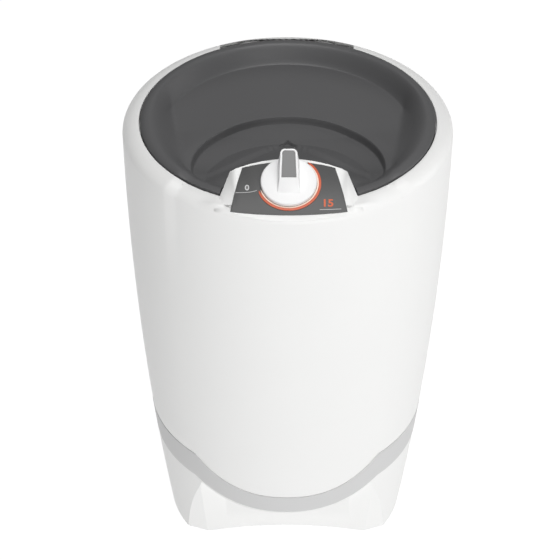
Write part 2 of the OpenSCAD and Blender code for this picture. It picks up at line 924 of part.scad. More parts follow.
module lid_switch_plunger() {
    color("#e8e8e8")
        rotate([0, 0, switch_angle])
            translate([switch_r, 0, ledge_z - 14])
                cylinder(r = plunger_r, h = 16);
}

// ---- Drum ----------------------------------------------------------------------------

tub_flange_z = deck_z - wall - 4 - 0.1;
tub_flange_r = tub_screw_circle_r + 10;
outlet_x = spout_x;
outlet_len = 14;
spout_inner = 14;
hose_bend_r = 20;
hose_end_y = facet_y + facet_slope * spout_z - (spout_inner + seat) * cos(facet_angle);
hose_end_z = spout_z + (spout_inner + seat) * sin(facet_angle);
hose_centre_y = hose_end_y + hose_bend_r * sin(facet_angle);
hose_centre_z = hose_end_z + hose_bend_r * cos(facet_angle);
outlet_y = hose_centre_y - hose_bend_r;

module outer_tub() {
    color("#dfe2e4")
        difference() {
            union() {
                translate([0, 0, tub_z])
                    cylinder(r = tub_r + tub_wall, h = tub_flange_z + 4 - tub_z);
                translate([0, 0, tub_flange_z])
                    cylinder(r = tub_flange_r, h = 4);
                translate([outlet_x, outlet_y, tub_z - outlet_len])
                    cylinder(r = 10, h = outlet_len + 1);
            }
            translate([0, 0, tub_z + tub_wall])
                cylinder(r = tub_r, h = rim_h);
            translate([0, 0, tub_z - over])
                cylinder(r = shaft_r + 13, h = 10);
            translate([outlet_x, outlet_y, tub_z - 20])
                cylinder(r = 7.5, h = 30);
            at_tub_screws()
                translate([0, 0, tub_flange_z - over])
                    cylinder(r = screw_r, h = 4 + 2 * over);
        }
}

module tub_screws() {
    color(steel)
        at_tub_screws() {
            translate([0, 0, deck_z - wall - 8])
                cylinder(r = screw_r - 0.05, h = wall + 8.1);
            translate([0, 0, deck_z + 0.1])
                cylinder(r = 4, h = 2.2);
        }
}

// Rubber seal in the middle of the tub, with a lip close to the shaft
module shaft_seal() {
    color(dark_rubber)
        rotate_extrude()
            polygon([[shaft_r + 0.3, tub_z - 5], [shaft_r + 7, tub_z - 3], [shaft_r + 12.9, tub_z - 3],
                [shaft_r + 12.9, tub_z + tub_wall + 0.1], [shaft_r + 18, tub_z + tub_wall + 0.1],
                [shaft_r + 18, tub_z + tub_wall + 2.6], [shaft_r + 10, tub_z + tub_wall + 2.6],
                [shaft_r + 4, tub_z + 12], [shaft_r + 0.3, tub_z + 14]]);
}

basket_top = deck_z - 25;
module basket() {
    row_step = (basket_top - basket_z - 60) / (hole_rows - 1);
    color("#c9ccd0")
        difference() {
            translate([0, 0, basket_z])
                cylinder(r = basket_r, h = basket_top - basket_z);
            translate([0, 0, basket_z + basket_wall])
                cylinder(r = basket_r - basket_wall, h = basket_top);
            translate([0, 0, basket_z - over])
                cylinder(r = shaft_r + 7, h = 10);
            for (row = [0:hole_rows - 1])
                around(hole_columns, basket_r - 4, 180 * (row % 2) / hole_columns)
                    translate([0, 0, basket_z + 30 + row * row_step])
                        rotate([0, 90, 0])
                            cylinder(r = drain_hole_r, h = 8);
        }
}

module balance_ring() {
    color("#e6e6e4")
        rotate_extrude()
            polygon([[basket_r - 20, basket_top - 2], [basket_r - 4, basket_top - 8],
                [basket_r - basket_wall - 0.1, basket_top - 8], [basket_r - basket_wall - 0.1, basket_top + 0.1],
                [basket_r + 1.5, basket_top + 0.1], [basket_r + 1.5, basket_top + 8],
                [basket_r - 2, basket_top + 12], [basket_r - 17, basket_top + 12], [basket_r - 20, basket_top + 9]]);
}

hub_h = 24;
module basket_hub() {
    color("#3a3c40")
        rotate_extrude()
            polygon([[shaft_r + run_fit, basket_z - 6], [shaft_r + 6.9, basket_z - 6],
                [shaft_r + 6.9, basket_z + basket_wall + 0.1], [basket_r * 0.42, basket_z + basket_wall + 0.1],
                [basket_r * 0.42, basket_z + basket_wall + 4], [basket_r * 0.25, basket_z + 12],
                [shaft_r + 9, basket_z + hub_h], [shaft_r + run_fit, basket_z + hub_h]]);
}

module hub_nut() {
    color(steel)
        translate([0, 0, basket_z + hub_h + 0.1])
            difference() {
                cylinder(r = 15, h = 10, $fn = 6);
                translate([0, 0, -over])
                    cylinder(r = shaft_r + run_fit, h = 20);
            }
}

shaft_low = bracket_z + 1;
module drive_shaft() {
    color(steel)
        translate([0, 0, shaft_low])
            cylinder(r = shaft_r, h = basket_z + hub_h + 12 - shaft_low);
}

// ---- Motor ---------------------------------------------------------------------------

motor_z = bracket_z + 3.1;
bearing_h = 9;
bell = 3;
motor_top = motor_z + motor_h;

module bearing(z) {
    color("#9ea2a8")
        ring(bearing_r - run_fit, shaft_r + run_fit, z, bearing_h);
}
module lower_bearing() {
    bearing(motor_z + bell + 0.1);
}
module upper_bearing() {
    bearing(motor_top - bell - bearing_h - 0.1);
}

module motor_housing() {
    flange_r = motor_r + 14;
    color("#8f9499")
        difference() {
            union() {
                translate([0, 0, motor_z])
                    cylinder(r = motor_r, h = motor_h);
                translate([0, 0, motor_z])
                    cylinder(r = flange_r, h = bell);
            }
            difference() {
                translate([0, 0, motor_z + bell])
                    cylinder(r = motor_r - 2.5, h = motor_h - 2 * bell);
                for (z = [motor_z, motor_top - bell - bearing_h - 1])
                    translate([0, 0, z])
                        cylinder(r = bearing_r + 3.5, h = bell + bearing_h + 1);
            }
            translate([0, 0, motor_z - over])
                cylinder(r = shaft_r + 2, h = motor_h + 2 * over);
            translate([0, 0, motor_z + bell])
                cylinder(r = bearing_r, h = bearing_h + 2);
            translate([0, 0, motor_top - bell - bearing_h - 2])
                cylinder(r = bearing_r, h = bearing_h + 2);
            around(3, motor_r + 7, 30)
                translate([0, 0, motor_z - over])
                    cylinder(r = 3.1, h = bell + 2 * over);
            around(8, motor_r - 18, 0)
                translate([0, 0, motor_top - bell - over])
                    cylinder(r = 5, h = bell + 2 * over);
        }
}

end_room = 28;
core_low = motor_z + end_room;
core_h = motor_h - 2 * end_room;
stator_bore_r = 42;
winding_h = 11;
module motor_stator() {
    color("#6d6f73")
        ring(motor_r - 2.6, stator_bore_r, core_low, core_h);
}

module stator_winding() {
    color("#b4652d")
        for (z = [core_low - winding_h - 0.1, core_low + core_h + 0.1])
            ring(motor_r - 6, stator_bore_r + 3, z, winding_h);
}

module motor_rotor() {
    color("#7d8085")
        ring(stator_bore_r - 0.6, shaft_r + 0.02, core_low - 2, core_h + 4);
}

bracket_r = 104;
module motor_bracket() {
    color("#4a4d52")
        difference() {
            translate([0, 0, bracket_z])
                cylinder(r = bracket_r, h = 3);
            translate([0, 0, bracket_z - over])
                cylinder(r = shaft_r + 6, h = 5);
            around(3, motor_r + 7, 30)
                translate([0, 0, bracket_z - over])
                    cylinder(r = 3.1, h = 5);
            around(3, spring_circle_r, 90)
                translate([0, 0, bracket_z - over])
                    cylinder(r = 4.2, h = 5);
        }
}

module motor_bolts() {
    color(steel)
        around(3, motor_r + 7, 30) {
            translate([0, 0, bracket_z - 2])
                cylinder(r = 3, h = bell + 3.1 + 2);
            translate([0, 0, motor_z + bell + 0.1])
                cylinder(r = 5.5, h = 4, $fn = 6);
            translate([0, 0, bracket_z - 4.1])
                cylinder(r = 5.5, h = 4, $fn = 6);
        }
}

cup_h = 5;
spring_low = floor_z + wall + cup_h - 2 + spring_wire / 2 + 0.2;
spring_top = bracket_z - cup_h + 2 - spring_wire / 2 - 0.2;
rings_per_curl = 8;
wire_sides = 6;

// Rings of a tube that follows a path; each ring stands square to the path
function tube_rings(path, r, sides) = [for (i = [0:len(path) - 1]) let (
        fore = path[min(i + 1, len(path) - 1)],
        back = path[max(i - 1, 0)],
        t = (fore - back) / norm(fore - back),
        helper = abs(t[2]) > 0.9 ? [1, 0, 0] : [0, 0, 1],
        n = cross(helper, t) / norm(cross(helper, t)),
        b = cross(t, n))
    [for (k = [0:sides - 1]) let (a = -360 * k / sides) path[i] + r * (cos(a) * n + sin(a) * b)]];

module tube(path, r, sides) {
    rings = tube_rings(path, r, sides);
    m = len(rings);
    polyhedron(
        points = [for (s = rings) each s],
        faces = concat(
            [for (j = [0:m - 2], i = [0:sides - 1]) let (k = (i + 1) % sides)
                [j * sides + i, j * sides + k, (j + 1) * sides + k]],
            [for (j = [0:m - 2], i = [0:sides - 1]) let (k = (i + 1) % sides)
                [j * sides + i, (j + 1) * sides + k, (j + 1) * sides + i]],
            [for (i = [1:sides - 2]) [0, i + 1, i]],
            let (b = (m - 1) * sides) [for (i = [1:sides - 2]) [b, b + i, b + i + 1]]));
}

module suspension_springs() {
    turns = spring_curls + 1;
    steps = turns * rings_per_curl;
    closed = rings_per_curl / 2;
    coil = [for (i = [0:steps]) let (
            a = 360 * i / rings_per_curl,
            up = clamp01((i - closed) / (steps - 2 * closed)))
        [spring_r * cos(a), spring_r * sin(a), spring_low + (spring_top - spring_low) * up]];
    color(steel)
        around(3, spring_circle_r, 90)
            tube(coil, spring_wire / 2, wire_sides);
}

module spring_cups() {
    color(dark_rubber)
        around(3, spring_circle_r, 90) {
            translate([0, 0, floor_z + wall + 0.1])
                difference() {
                    cylinder(r = spring_r + 5, h = cup_h);
                    translate([0, 0, cup_h - 2])
                        cylinder(r = spring_r + 2.3, h = 3);
                }
            translate([0, 0, bracket_z - cup_h - 0.1])
                difference() {
                    cylinder(r = spring_r + 5, h = cup_h);
                    translate([0, 0, -over])
                        cylinder(r = spring_r + 2.3, h = 2 + over);
                }
        }
}

// ---- Brake ---------------------------------------------------------------------------

brake_z = motor_top + 7;
brake_h = 15;
pivot_x = -30;
pivot_y = -(brake_r + 20);
lever_len = 96;

module brake_drum() {
    color("#84878c")
        difference() {
            translate([0, 0, brake_z])
                cylinder(r = brake_r, h = brake_h);
            translate([0, 0, brake_z + 3])
                difference() {
                    cylinder(r = brake_r - 4, h = brake_h);
                    cylinder(r = shaft_r + 6, h = brake_h);
                }
            translate([0, 0, brake_z - over])
                cylinder(r = shaft_r + 0.02, h = brake_h + 2 * over);
        }
}

module brake_bracket() {
    color("#4a4d52")
        difference() {
            translate([pivot_x - 9, pivot_y - 9, motor_top + 0.1])
                cube([46, 42, 3]);
            translate([pivot_x, pivot_y, motor_top - over])
                cylinder(r = 4, h = 6);
            around(8, motor_r - 18, 0)
                translate([0, 0, motor_top - over])
                    cylinder(r = 5, h = 6);
        }
}

module brake_pivot_pin() {
    color(steel)
        translate([pivot_x, pivot_y, motor_top + 0.1])
            union() {
                cylinder(r = 3.95, h = 3.1);
                cylinder(r = 3, h = brake_h + 10);
                translate([0, 0, brake_h + 8])
                    cylinder(r = 5, h = 2);
            }
}

module brake_lever() {
    color("#5a5d62")
        difference() {
            union() {
                translate([pivot_x, pivot_y, brake_z + 3])
                    cylinder(r = 8, h = 9);
                translate([pivot_x, pivot_y - 4, brake_z + 4])
                    cube([lever_len, 8, 7]);
                translate([pivot_x + 14, pivot_y + 3, brake_z + 4])
                    cube([32, 20 - brake_gap - 6 - 3 - 0.4, 7]);
            }
            translate([pivot_x, pivot_y, brake_z])
                cylinder(r = 3.05, h = 20);
            translate([pivot_x + lever_len - 6, pivot_y, brake_z])
                cylinder(r = 2, h = 20);
        }
}

module brake_pad() {
    color(dark_rubber)
        difference() {
            translate([pivot_x + 16, pivot_y + 20 - brake_gap - 6.3, brake_z + 3])
                cube([28, 11, 9]);
            translate([0, 0, brake_z - over])
                cylinder(r = brake_r + brake_gap, h = brake_h + 2 * over);
        }
}

// Place inside the cabinet wall, given as a direction, a height and a distance in from the wall
function wall_point(p) = let (r = side_r(p[1]) - wall - p[2]) [r * cos(p[0]), r * sin(p[0]), p[1]];

// Cable from the brake lever up the inside of the cabinet to the lid hinge
cable_r = 2.2;
cable_route = concat(
    [[67.5, -64, 180.6], [84, -68, 181], [112, -74, 184]],
    [for (p = [[-28, 192, 38], [-23, 205, 28.6], [-17, 232, 27], [-11, 262, 22], [-2, 305, 20], [8, 370, 20],
            [19, 450, 20], [30, 520, 20], [41, 580, 20], [49.6, rim_h - 60, 13.4], [58.4, rim_h - 44, 9.9],
            [62.5, rim_h - 39, 7.2], [64.9, rim_h - 36, 7.2]])
        wall_point(p)]);

function blend(p, q, s, t, u) = 0.5 * (2 * q + u * (s - p) + u * u * (2 * p - 5 * q + 4 * s - t)
    + u * u * u * (3 * q - p - 3 * s + t));
function smooth_route(points, parts) = let (last = len(points) - 1) concat(
    [for (i = [0:last - 1], k = [0:parts - 1])
        blend(points[max(0, i - 1)], points[i], points[i + 1], points[min(last, i + 2)], k / parts)],
    [points[last]]);

module brake_cable() {
    color(dark_rubber)
        tube(smooth_route(cable_route, 3), cable_r, 8);
}

// ---- Electrical parts and drain ------------------------------------------------------

plate_top = floor_z + wall;
capacitor_at = [-134, 30];
capacitor_r = 17;
module capacitor() {
    color("#d7dadd")
        translate([capacitor_at[0], capacitor_at[1], plate_top + 0.1])
            union() {
                cylinder(r = capacitor_r, h = 70);
                for (x = [-6, 6])
                    translate([x - 2.5, -0.5, 69])
                        cube([5, 1, 9]);
            }
}

module capacitor_clamp() {
    color(steel)
        translate([capacitor_at[0], capacitor_at[1], plate_top + 0.1])
            difference() {
                union() {
                    translate([0, 0, 26])
                        cylinder(r = capacitor_r + 1.6, h = 14);
                    translate([-7, -capacitor_r - 3.5, 0])
                        cube([14, 3.2, 40]);
                    translate([-7, -capacitor_r - 14, 0])
                        cube([14, 13, 1.6]);
                }
                translate([0, 0, -over])
                    cylinder(r = capacitor_r + 0.1, h = 60);
            }
}

module terminal_block() {
    color("#eceae2")
        translate([118, 14, plate_top + 0.1])
            difference() {
                cube([16, 44, 18]);
                for (i = [0:3])
                    translate([8, 7 + i * 10, 8])
                        cylinder(r = 3, h = 20);
            }
}

// Wires from the timer down inside the front wall to the terminal block
harness_r = 3;
harness_route = concat(
    [[15, 58 - panel_y, rim_h - 30], [20, 36 - panel_y, rim_h - 36]],
    [for (p = [[-82, rim_h - 48, 18], [-80, rim_h - 75, 18], [-74, 550, 18], [-66, 490, 18], [-59, 425, 18], [-52, 360, 18],
            [-46, 300, 18], [-41, 260, 20], [-36.8, 225, 26.8], [-30.6, 190, 31.2], [-23.3, 150, 35.2],
            [-13.5, 110, 41.3]])
        wall_point(p)],
    [[136, -6, 78], [130, 14, 62], [126, 22, 56], [126, 24, 51.8]]);
module wire_harness() {
    color("#3b3d42")
        tube(smooth_route(harness_route, 3), harness_r, 8);
}

spout_outer = 40;
module drain_spout() {
    color(band_grey)
        on_rear_face(spout_x, spout_z)
            difference() {
                union() {
                    translate([0, 0, -spout_inner])
                        cylinder(r = spout_r, h = spout_inner + spout_outer);
                    translate([0, 0, 0.1])
                        cylinder(r = spout_r + 6, h = 3);
                }
                translate([0, 0, -spout_inner - over])
                    cylinder(r = spout_r - 2.5, h = spout_inner + spout_outer + 2 * over);
            }
}

// Short hose from the tub outlet to the inner end of the spout, as a bent tube with a bore
hose_r = 11.5;
hose_bore_r = 8.5;
module hose_form(r, extra) {
    translate([spout_x, hose_centre_y, hose_centre_z])
        rotate([90, 0, 90])
            rotate([0, 0, 180])
                rotate_extrude(angle = 90 - facet_angle + extra)
                    translate([hose_bend_r, 0])
                        circle(r = r);
    translate([outlet_x, outlet_y, hose_centre_z])
        cylinder(r = r, h = tub_z - outlet_len - seat - hose_centre_z + extra);
}

module drain_hose() {
    color("#7c7f84")
        difference() {
            hose_form(hose_r, 0);
            hose_form(hose_bore_r, over);
        }
}

module cord_gland() {
    color(dark_rubber)
        on_rear_face(gland_x, gland_z)
            difference() {
                union() {
                    translate([0, 0, -10])
                        cylinder(r = gland_r, h = 22);
                    translate([0, 0, 0.1])
                        cylinder(r = gland_r + 5, h = 3);
                    translate([0, 0, -wall - 3.4])
                        cylinder(r = gland_r + 3, h = 3);
                }
                translate([0, 0, -12])
                    cylinder(r = 3.6, h = 30);
            }
}

cabinet();
deck();
trim_band();
base();
base_collar();
base_floor();
rubber_feet();
base_screws();
control_label();
dial_ring();
knob();
knob_insert();
timer_body();
timer_shaft();
timer_nut();
lid();
lid_hinge_arms();
lid_hinge_pins();
lid_bumpers();
lid_switch_body();
lid_switch_plunger();
outer_tub();
tub_screws();
shaft_seal();
basket();
balance_ring();
basket_hub();
hub_nut();
drive_shaft();
upper_bearing();
lower_bearing();
motor_housing();
motor_stator();
stator_winding();
motor_rotor();
motor_bracket();
motor_bolts();
suspension_springs();
spring_cups();
brake_drum();
brake_bracket();
brake_pivot_pin();
brake_lever();
brake_pad();
brake_cable();
capacitor();
capacitor_clamp();
terminal_block();
wire_harness();
drain_hose();
drain_spout();
cord_gland();
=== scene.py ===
import json
import math

import bmesh
import bpy
from mathutils import Matrix, Vector

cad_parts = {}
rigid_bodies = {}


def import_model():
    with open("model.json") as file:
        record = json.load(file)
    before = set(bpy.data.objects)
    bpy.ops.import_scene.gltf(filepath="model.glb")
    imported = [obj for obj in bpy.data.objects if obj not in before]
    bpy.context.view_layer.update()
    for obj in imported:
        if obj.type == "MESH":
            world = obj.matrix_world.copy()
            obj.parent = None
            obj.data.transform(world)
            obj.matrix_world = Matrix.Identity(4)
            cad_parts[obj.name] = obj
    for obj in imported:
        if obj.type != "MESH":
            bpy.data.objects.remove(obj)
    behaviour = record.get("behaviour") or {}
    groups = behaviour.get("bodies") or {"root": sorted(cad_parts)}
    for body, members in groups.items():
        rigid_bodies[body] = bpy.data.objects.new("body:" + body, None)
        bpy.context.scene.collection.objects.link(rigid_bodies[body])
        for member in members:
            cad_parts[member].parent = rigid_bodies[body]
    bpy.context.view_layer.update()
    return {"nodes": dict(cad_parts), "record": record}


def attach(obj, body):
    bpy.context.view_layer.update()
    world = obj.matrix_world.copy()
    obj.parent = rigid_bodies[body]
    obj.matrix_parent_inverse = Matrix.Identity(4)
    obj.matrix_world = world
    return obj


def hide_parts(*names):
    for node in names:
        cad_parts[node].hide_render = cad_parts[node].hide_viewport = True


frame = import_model()
nodes = frame["nodes"]
print("frame loaded,", len(nodes), "nodes")


def linearColour(hexText):
    out = []
    for i in (0, 2, 4):
        v = int(hexText[i:i + 2], 16) / 255
        out.append(v / 12.92 if v <= 0.04045 else ((v + 0.055) / 1.055) ** 2.4)
    return (*out, 1.0)


def addNode(tree, kind, settings=None, links=None):
    node = tree.nodes.new(kind)
    for name, value in (settings or {}).items():
        if isinstance(name, int) or name in node.inputs:
            node.inputs[name].default_value = value
        else:
            setattr(node, name, value)
    for socket, source in (links or {}).items():
        tree.links.new(source, node.inputs[socket])
    return node


def deselectAll():
    for ob in bpy.context.view_layer.objects:
        ob.select_set(False)


def makeActive(ob):
    deselectAll()
    ob.select_set(True)
    bpy.context.view_layer.objects.active = ob


def clampOne(t):
    return min(1.0, max(0.0, t))


def ease(t):
    t = clampOne(t)
    return t * t * (3 - 2 * t)


def pick(ob, kind, test):
    # in edit mode, selects the vertices, edges or faces that pass the test
    bpy.ops.mesh.select_mode(type={"verts": "VERT", "edges": "EDGE", "faces": "FACE"}[kind])
    bpy.ops.mesh.select_all(action="DESELECT")
    edit = bmesh.from_edit_mesh(ob.data)
    edit.faces.ensure_lookup_table()
    for part in getattr(edit, kind):
        if test(part):
            part.select_set(True)
    edit.select_flush_mode()
    bmesh.update_edit_mesh(ob.data)


def outwardNormals():
    bpy.ops.mesh.select_all(action="SELECT")
    bpy.ops.mesh.normals_make_consistent(inside=False)


def soften(ob, width, segments=3, angle=50):
    makeActive(ob)
    rounding = ob.modifiers.new("softEdge", "BEVEL")
    rounding.width = width
    rounding.segments = segments
    rounding.limit_method = "ANGLE"
    rounding.angle_limit = math.radians(angle)
    bpy.ops.object.modifier_apply(modifier="softEdge")


def cutBy(ob, tool):
    makeActive(ob)
    cut = ob.modifiers.new("cut", "BOOLEAN")
    cut.operation = "DIFFERENCE"
    cut.object = tool
    cut.solver = "EXACT"
    bpy.ops.object.modifier_apply(modifier="cut")
    bpy.data.objects.remove(tool)


def plate(name, outline, low, high):
    # a flat plate: a filled circle whose points are set on the outline, then extruded
    deselectAll()
    bpy.ops.mesh.primitive_circle_add(vertices=len(outline), fill_type="NGON")
    ob = bpy.context.object
    ob.name = name
    for vert, (x, y) in zip(ob.data.vertices, outline):
        vert.co = (x, y, low)
    bpy.ops.object.mode_set(mode="EDIT")
    bpy.ops.mesh.select_all(action="SELECT")
    bpy.ops.mesh.extrude_region_move(TRANSFORM_OT_translate={"value": (0, 0, high - low)})
    outwardNormals()
    bpy.ops.object.mode_set(mode="OBJECT")
    return ob


def turned(name, section):
    # a closed ring: a torus whose points follow section(a), in mm, where a is the angle from the front;
    # its steps are finer in the 120 degrees at the front
    stops = [(0, -180.0), (60, -60.0), (196, 60.0), (256, 180.0)]
    count = len(section(0.0))
    deselectAll()
    bpy.ops.mesh.primitive_torus_add(major_segments=256, minor_segments=count)
    ob = bpy.context.object
    ob.name = name
    for vert in ob.data.vertices:
        step = vert.index // count
        (i0, a0), (i1, a1) = [pair for pair in zip(stops, stops[1:]) if step >= pair[0][0]][-1]
        turn = a0 + (a1 - a0) * (step - i0) / (i1 - i0)
        if vert.index % count == 0:
            points = section(turn)
        r, z = points[vert.index % count]
        a = math.radians(turn)
        vert.co = (r * math.sin(a) * 0.001, -r * math.cos(a) * 0.001, z * 0.001)
    bpy.ops.object.mode_set(mode="EDIT")
    outwardNormals()
    bpy.ops.object.mode_set(mode="OBJECT")
    return ob


def finishPiece(ob, matrix, body, slotName, stands=(), angle=30, material=None):
    ob.data.transform(matrix)
    ob.data.materials.clear()
    ob.data.materials.append(material or slotMaterials[slotName])
    makeActive(ob)
    bpy.ops.object.shade_smooth_by_angle(angle=math.radians(angle))
    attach(ob, body)
    if stands:
        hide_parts(*stands)
    return ob


# the camera comes first, because every check is made through it
cameraSet = {"place": (-0.0271, -2.5262, 2.3396), "pitchDown": 37.512, "lens": 141.43, "shiftX": 0.0214}
cameraData = bpy.data.cameras.new("photoCamera")
cameraData.lens = cameraSet["lens"]
cameraData.sensor_width = 36
cameraData.shift_x = cameraSet["shiftX"]
cameraData.clip_end = 50
camera = bpy.data.objects.new("photoCamera", cameraData)
camera.location = cameraSet["place"]
camera.rotation_euler = (math.radians(90 - cameraSet["pitchDown"]), 0, 0)
bpy.context.scene.collection.objects.link(camera)
bpy.context.scene.camera = camera
print("camera placed")


def mouldedPlastic(name, hexText, rough, grainMm, bump, mottle=0.02, roughSpread=0.05):
    # injection-moulded plastic: an even colour with faint flow mottle and the fine grain of the tool
    mat = bpy.data.materials.new(name)
    mat.use_nodes = True
    tree = mat.node_tree
    shader = tree.nodes["Principled BSDF"]
    place = addNode(tree, "ShaderNodeTexCoord")
    flow = addNode(tree, "ShaderNodeTexNoise", {"Scale": 9.0, "Detail": 3.0},
                   {"Vector": place.outputs["Object"]})
    base = linearColour(hexText)
    ramp = addNode(tree, "ShaderNodeValToRGB", links={"Fac": flow.outputs["Fac"]})
    ramp.color_ramp.elements[0].position = 0.3
    ramp.color_ramp.elements[1].position = 0.7
    ramp.color_ramp.elements[0].color = (*[c * (1 - mottle) for c in base[:3]], 1)
    ramp.color_ramp.elements[1].color = (*[min(1, c * (1 + mottle)) for c in base[:3]], 1)
    tree.links.new(ramp.outputs["Color"], shader.inputs["Base Color"])
    grain = addNode(tree, "ShaderNodeTexNoise", {"Scale": 1000.0 / grainMm, "Detail": 2.0},
                    {"Vector": place.outputs["Object"]})
    lift = addNode(tree, "ShaderNodeBump", {"Strength": bump, "Distance": 0.0002},
                   {"Height": grain.outputs["Fac"]})
    tree.links.new(lift.outputs["Normal"], shader.inputs["Normal"])
    sheen = addNode(tree, "ShaderNodeMapRange",
                    {"To Min": rough - roughSpread, "To Max": rough + roughSpread},
                    {"Value": flow.outputs["Fac"]})
    tree.links.new(sheen.outputs["Result"], shader.inputs["Roughness"])
    shader.inputs["IOR"].default_value = 1.5
    return mat


def metal(name, hexText, rough, alongMm, acrossMm, bump):
    # rolled or turned metal: fine lines in one direction that stretch the highlight
    mat = bpy.data.materials.new(name)
    mat.use_nodes = True
    tree = mat.node_tree
    shader = tree.nodes["Principled BSDF"]
    place = addNode(tree, "ShaderNodeTexCoord")
    stretch = addNode(tree, "ShaderNodeMapping",
                      {"Scale": (1000 / alongMm, 1000 / alongMm, 1000 / acrossMm)},
                      {"Vector": place.outputs["Object"]})
    lines = addNode(tree, "ShaderNodeTexNoise", {"Scale": 1.0, "Detail": 3.0},
                    {"Vector": stretch.outputs["Vector"]})
    base = linearColour(hexText)
    ramp = addNode(tree, "ShaderNodeValToRGB", links={"Fac": lines.outputs["Fac"]})
    ramp.color_ramp.elements[0].color = (*[c * 0.86 for c in base[:3]], 1)
    ramp.color_ramp.elements[1].color = (*[min(1, c * 1.1) for c in base[:3]], 1)
    tree.links.new(ramp.outputs["Color"], shader.inputs["Base Color"])
    lift = addNode(tree, "ShaderNodeBump", {"Strength": bump, "Distance": 0.0001},
                   {"Height": lines.outputs["Fac"]})
    tree.links.new(lift.outputs["Normal"], shader.inputs["Normal"])
    shader.inputs["Metallic"].default_value = 1.0
    shader.inputs["Roughness"].default_value = rough
    return mat


slotMaterials = {
    # gloss ABS of the cabinet and base, polished tool: soft wide highlights
    "white_shell": mouldedPlastic("glossWhiteAbs", "F4F4F3", 0.45, 1.4, 0.03, 0.005, 0.008),
    # satin ABS of the grey band
    "grey_band": mouldedPlastic("satinGreyAbs", "D2D2D2", 0.5, 0.9, 0.1, 0.012),
    # spark-textured polypropylene of the lid
    "lid_grey": mouldedPlastic("texturedLidPolypropylene", "585859", 0.5, 0.8, 0.25, 0.02),
    # screen-printed polycarbonate film
    "label_grey": mouldedPlastic("printedPanelFilm", "525252", 0.5, 0.6, 0.08, 0.01),
    "dial_orange": mouldedPlastic("orangeDialAbs", "CC5A33", 0.4, 0.8, 0.06, 0.02),
    "knob_white": mouldedPlastic("whiteKnobAbs", "F2F2F2", 0.4, 1.0, 0.05, 0.008),
    "insert_grey": mouldedPlastic("greyGripInsert", "7C7C7C", 0.45, 0.7, 0.1, 0.015),
    "timer_plastic": mouldedPlastic("creamNylon", "DDD7C6", 0.5, 0.8, 0.1, 0.02),
    "dark_plastic": mouldedPlastic("glassFilledNylon", "34363A", 0.55, 0.7, 0.3, 0.04),
    "tub_plastic": mouldedPlastic("tubPolypropylene", "DCDFE0", 0.5, 1.5, 0.12, 0.02),
    "black_rubber": mouldedPlastic("blackRubber", "2A2B2D", 0.75, 0.6, 0.4, 0.05),
    "hose_rubber": mouldedPlastic("greyHoseRubber", "6E7175", 0.7, 0.8, 0.3, 0.04),
    "brake_lining": mouldedPlastic("pressedFrictionLining", "4A4038", 0.9, 0.9, 0.8, 0.15),
    "basket_steel": metal("brushedStainlessSheet", "C6C8CA", 0.28, 60, 0.5, 0.15),
    "bright_steel": metal("groundSteel", "BFC1C4", 0.25, 30, 0.4, 0.1),
    "zinc_screws": metal("zincPlate", "B7BABE", 0.38, 3, 2, 0.1),
    "lamination_steel": metal("stackedLaminations", "85878B", 0.5, 60, 0.6, 0.5),
    "cast_aluminium": metal("dieCastAluminium", "AEB2B6", 0.45, 2, 2, 0.3),
    "copper_winding": metal("varnishedCopper", "B4652D", 0.35, 40, 0.8, 0.6),
    "black_steel": mouldedPlastic("blackPaintedSteel", "3A3C40", 0.45, 1.2, 0.2, 0.05),
}
paleLip = mouldedPlastic("paleDialLip", "F4DCCB", 0.4, 0.8, 0.05, 0.01)
printLight = mouldedPlastic("lightScreenPrint", "C9C9C9", 0.5, 0.8, 0.05, 0.01)
printOrange = mouldedPlastic("orangeScreenPrint", "D8643A", 0.5, 0.8, 0.05, 0.01)
slotOf = {s["node"]: s["material_slot"] for s in frame["record"]["subparts"]}
for name, ob in nodes.items():
    ob.data.materials.clear()
    ob.data.materials.append(slotMaterials[slotOf[name]])
print("materials on all nodes")


# copies of the moulded pieces whose exact faces are kept, with even shading
def mergedCopy(node):
    piece = bpy.data.objects.new(node + "_moulded", nodes[node].data.copy())
    bpy.context.scene.collection.objects.link(piece)
    makeActive(piece)
    bpy.ops.object.mode_set(mode="EDIT")
    bpy.ops.mesh.select_all(action="SELECT")
    bpy.ops.mesh.remove_doubles(threshold=0.00002)
    bpy.ops.object.mode_set(mode="OBJECT")
    return piece


# the panel's own frame: x across, y up the slope, z out of the panel
panelSet = {"front": (0.0, -0.214, 0.670), "tilt": 22.0, "knobS": 0.049, "rearHalf": 77.0,
            "tipHalf": 90.0, "tipS": 32.0, "cornerS": 68.0, "length": 88.0, "frontS": -40.0,
            "frontLean": 0.3, "bowIn": 8.0, "bow": 15.0}
panelTurn = Matrix.Rotation(math.radians(panelSet["tilt"]), 4, "X")
panelMatrix = Matrix.Translation(panelSet["front"]) @ panelTurn
knobMatrix = panelMatrix @ Matrix.Translation((0, panelSet["knobS"], 0))


def consoleHalf(s):
    # half width of the panel at s, which narrows again towards the front
    k = panelSet
    if s < k["tipS"]:
        return k["tipHalf"] - (k["tipS"] - s) * k["frontLean"]
    widening = (k["cornerS"] - s) * (k["tipHalf"] - k["rearHalf"]) / (k["cornerS"] - k["tipS"])
    return k["rearHalf"] + widening


def consoleOutline():
    k = panelSet
    bowHalf = k["rearHalf"] - k["bowIn"]
    rear = [(bowHalf * i / 4, k["length"] - k["bow"] * (i / 4) ** 2) for i in range(4, -5, -1)]
    right = [(consoleHalf(s), s) for s in (k["frontS"], k["tipS"], k["cornerS"])]
    return [*right, *rear, *[(-x, s) for x, s in reversed(right)]]


